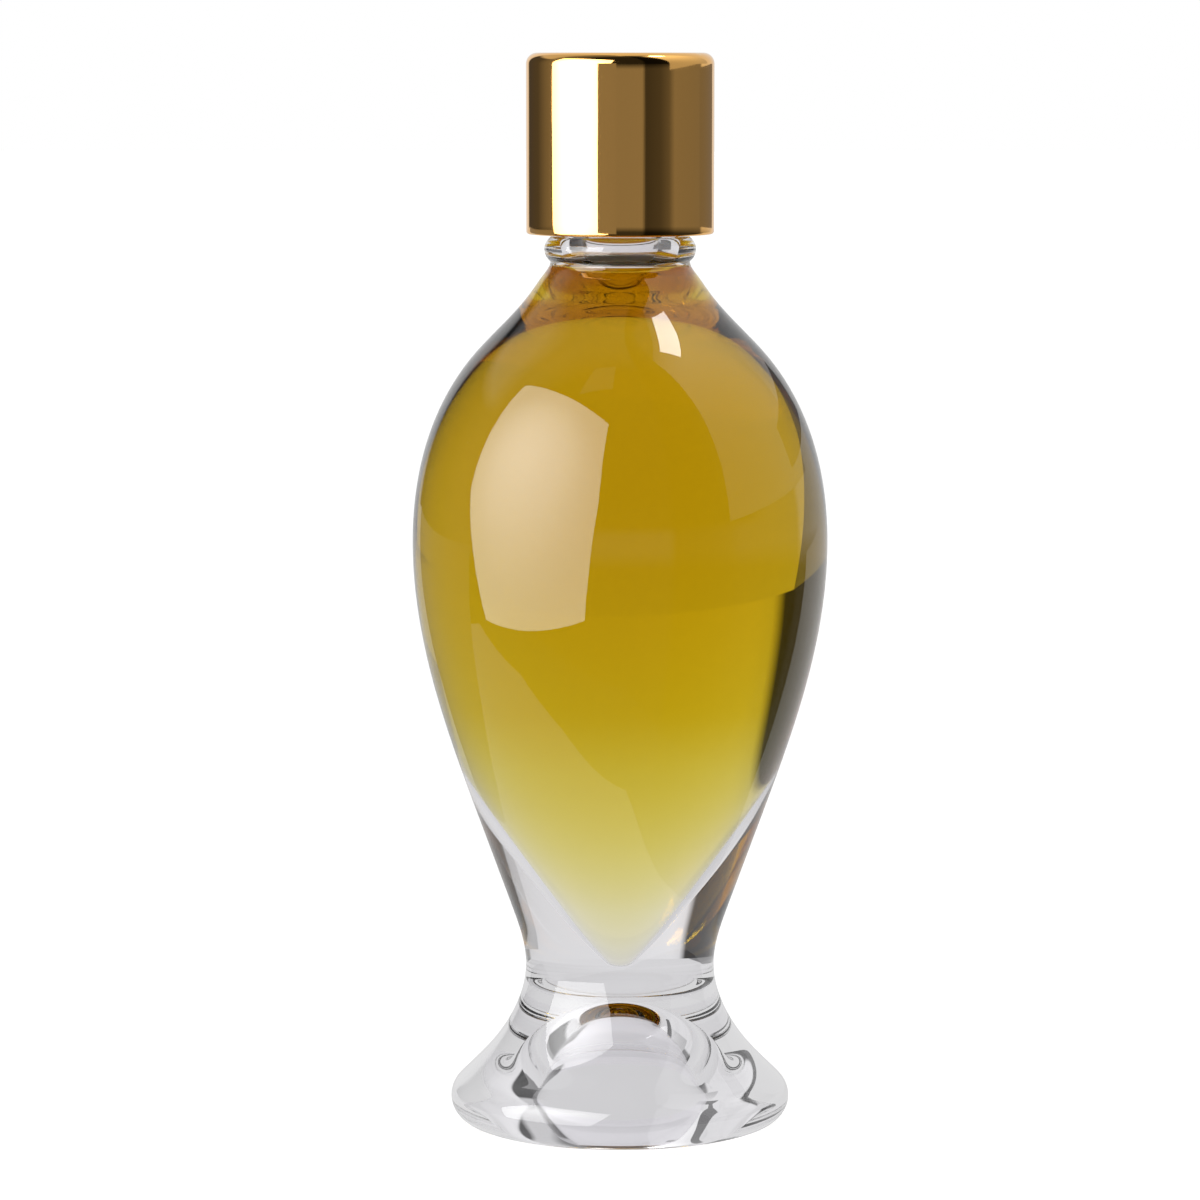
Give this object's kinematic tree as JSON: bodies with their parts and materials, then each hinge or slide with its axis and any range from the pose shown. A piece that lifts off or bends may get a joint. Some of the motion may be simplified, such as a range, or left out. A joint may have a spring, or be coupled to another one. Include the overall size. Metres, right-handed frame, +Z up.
{
  "type": "perfume bottle",
  "caption": "Small clear glass perfume bottle shaped as a spindle on a flared foot, filled with amber liquid, with a round gold screw cap.",
  "frame": {"origin": "centre of the plane that the foot stands on", "axes": "+Z up, along the axis of the bottle; +X to the viewer's right when looking along +Y, the azimuth where both screw threads start"},
  "size_m": [0.0244, 0.0244, 0.0632],
  "materials": {
    "flint_glass": "clear, fire-polished",
    "perfume_liquid": "clear amber liquid",
    "natural_polyethylene": "translucent, moulded",
    "foam_liner": "matt foam sheet",
    "white_polypropylene": "satin, moulded",
    "gold_aluminium": "gold anodised, bright"
  },
  "bodies": {
    "bottle": {"glass_bottle": "flint_glass", "perfume": "perfume_liquid", "orifice_reducer": "natural_polyethylene"},
    "liner": {"cap_liner": "foam_liner"},
    "cap": {"cap_shell": "gold_aluminium", "cap_insert": "white_polypropylene"}
  },
  "joints": [
    {"name": "cap_lift", "type": "slide", "parent": "bottle", "child": "liner", "axis": [0, 0, 1], "range_m": [0, 0.00957]},
    {"name": "cap_unscrew", "type": "hinge", "parent": "liner", "child": "cap", "pos_m": [0, 0, 0.0577], "axis": [0, 0, 1], "range_deg": [0, 1900]}
  ],
  "couplings": [
    {"joint": "cap_unscrew", "follows": "cap_lift", "rad_per_m": 3463.2}
  ]
}
